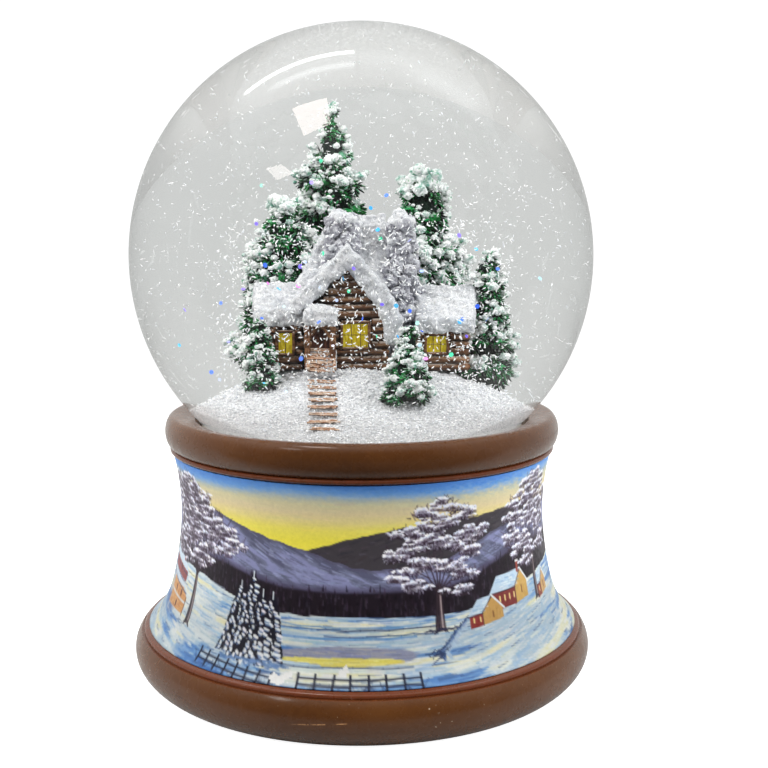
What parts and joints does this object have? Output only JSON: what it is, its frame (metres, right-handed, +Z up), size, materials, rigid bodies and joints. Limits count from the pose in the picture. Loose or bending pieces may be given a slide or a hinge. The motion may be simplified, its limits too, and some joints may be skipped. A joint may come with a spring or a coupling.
{
  "type": "musical snow globe",
  "caption": "Glass water globe with a snowy log cabin and spruces inside, on a flared pedestal with a winter landscape wrap that hides a wind-up music movement.",
  "frame": {"origin": "centre of the underside, on the plane that the felt pads rest on", "axes": "+Z up the axis of the globe and pedestal, -Y towards the front, where the garden steps come down, +X to the right seen from the front"},
  "size_m": [0.122, 0.122, 0.1692],
  "materials": {
    "clear_glass": "polished",
    "clear_liquid": "polished",
    "white_rubber": "matte",
    "brown_paint": "satin",
    "picture_print": "satin",
    "black_board": "matte",
    "felt_pad": "matte",
    "snow_white": "matte",
    "log_brown": "matte",
    "dark_wood": "matte",
    "lit_window": "satin",
    "stone_grey": "matte",
    "spruce_green": "matte",
    "bright_steel": "polished",
    "cast_zinc": "satin",
    "brass": "polished"
  },
  "bodies": {
    "globe_and_pedestal": {"bottom_cover": "black_board", "cabin_door": "dark_wood", "comb_screw_1": "bright_steel", "comb_screw_2": "bright_steel", "cover_screw_1": "bright_steel", "cover_screw_2": "bright_steel", "cover_screw_3": "bright_steel", "cylinder_bracket_1": "cast_zinc", "cylinder_bracket_2": "cast_zinc", "felt_pad_1": "felt_pad", "felt_pad_2": "felt_pad", "felt_pad_3": "felt_pad", "front_window": "lit_window", "gable_roof": "snow_white", "gable_walls": "log_brown", "garden_steps": "log_brown", "glass_globe": "clear_glass", "globe_stopper": "white_rubber", "governor_bracket": "cast_zinc", "house_roof": "snow_white", "house_walls": "log_brown", "left_window": "lit_window", "left_wing_roof": "snow_white", "left_wing_walls": "log_brown", "liquid_fill": "clear_liquid", "mainspring": "bright_steel", "movement_bedplate": "cast_zinc", "movement_screw_1": "bright_steel", "movement_screw_2": "bright_steel", "pedestal_casting": "brown_paint", "picture_band": "picture_print", "porch_post_1": "log_brown", "porch_post_2": "log_brown", "porch_roof": "snow_white", "right_window": "lit_window", "right_wing_roof": "snow_white", "right_wing_walls": "log_brown", "roof_chimney": "stone_grey", "sealant_ring": "white_rubber", "snow_mound": "snow_white", "sound_comb": "bright_steel", "spring_barrel": "cast_zinc", "spruce_far_right": "spruce_green", "spruce_front_left": "spruce_green", "spruce_front_right_1": "spruce_green", "spruce_front_right_2": "spruce_green", "spruce_rear_left": "spruce_green", "spruce_rear_right": "spruce_green", "spruce_tall": "spruce_green", "stone_chimney": "stone_grey"},
    "winder": {"winding_key": "brass", "winding_arbor": "bright_steel", "drive_wheel": "brass"},
    "music_cylinder": {"cylinder_arbor": "bright_steel", "note_cylinder": "brass", "cylinder_pinion": "bright_steel", "cylinder_wheel": "brass"},
    "governor": {"governor_shaft": "bright_steel", "governor_pinion": "bright_steel", "governor_fan": "brass"}
  },
  "joints": [
    {"name": "key_turn", "type": "hinge", "parent": "globe_and_pedestal", "child": "winder", "pos_m": [-0.015, 0, 0.012], "axis": [0, 0, 1], "range_deg": [0, 2250]},
    {"name": "cylinder_turn", "type": "hinge", "parent": "globe_and_pedestal", "child": "music_cylinder", "pos_m": [0, 0, 0.0355], "axis": [1, 0, 0], "range_deg": [0, 6750]},
    {"name": "governor_turn", "type": "hinge", "parent": "globe_and_pedestal", "child": "governor", "pos_m": [0, 0.00866, 0.0305], "axis": [1, 0, 0], "range_deg": [-27000, 0]}
  ],
  "couplings": [
    {"joint": "cylinder_turn", "follows": "key_turn", "ratio": 3},
    {"joint": "governor_turn", "follows": "key_turn", "ratio": -12}
  ]
}
